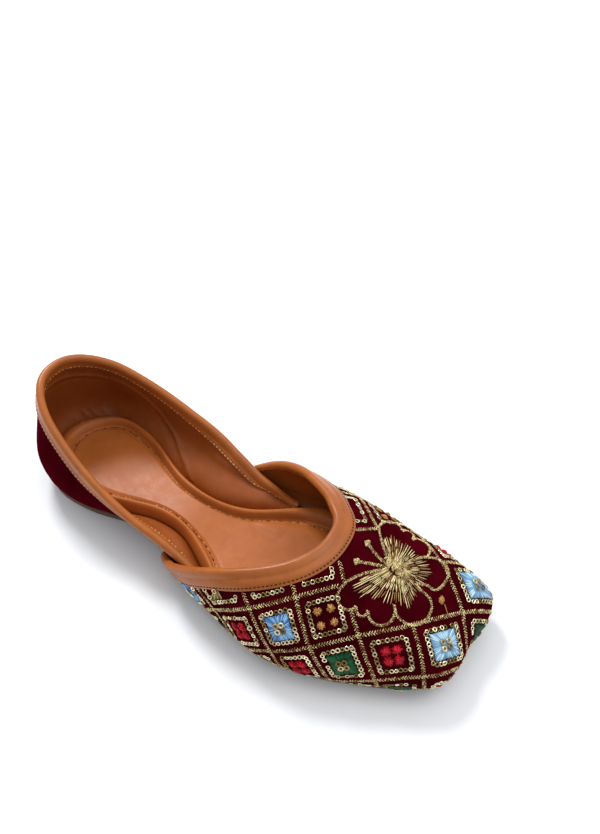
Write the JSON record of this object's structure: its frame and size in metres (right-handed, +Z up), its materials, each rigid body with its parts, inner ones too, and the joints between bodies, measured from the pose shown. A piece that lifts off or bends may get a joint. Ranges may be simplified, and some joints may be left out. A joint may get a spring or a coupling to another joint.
{
  "type": "slip-on shoe",
  "caption": "Low slip-on mojari shoe for the right foot, with a square toe, a vamp lapped over a quarter, rolled leather edges, a padded insole and a flat leather sole.",
  "frame": {"origin": "middle of the shoe's box in plan, on the floor under the sole", "axes": "+X from the heel to the toe, +Y to the inner side of the foot, +Z up"},
  "size_m": [0.2434, 0.0915, 0.0613],
  "materials": {
    "sole_leather": "flat tan-grey sole leather with a dull burnished edge",
    "insole_leather": "smooth padded tan-brown leather with a soft sheen",
    "maroon_velvet": "maroon velvet, plain on the quarter and embroidered in gold thread and beads on the vamp, lined with tan leather",
    "tan_edge_leather": "rolled tan-brown leather edge, polished along its ridge"
  },
  "bodies": {
    "root": {"outsole": "sole_leather", "insole": "insole_leather", "upper": "maroon_velvet", "vamp_binding": "tan_edge_leather", "quarter_binding": "tan_edge_leather"}
  },
  "joints": []
}
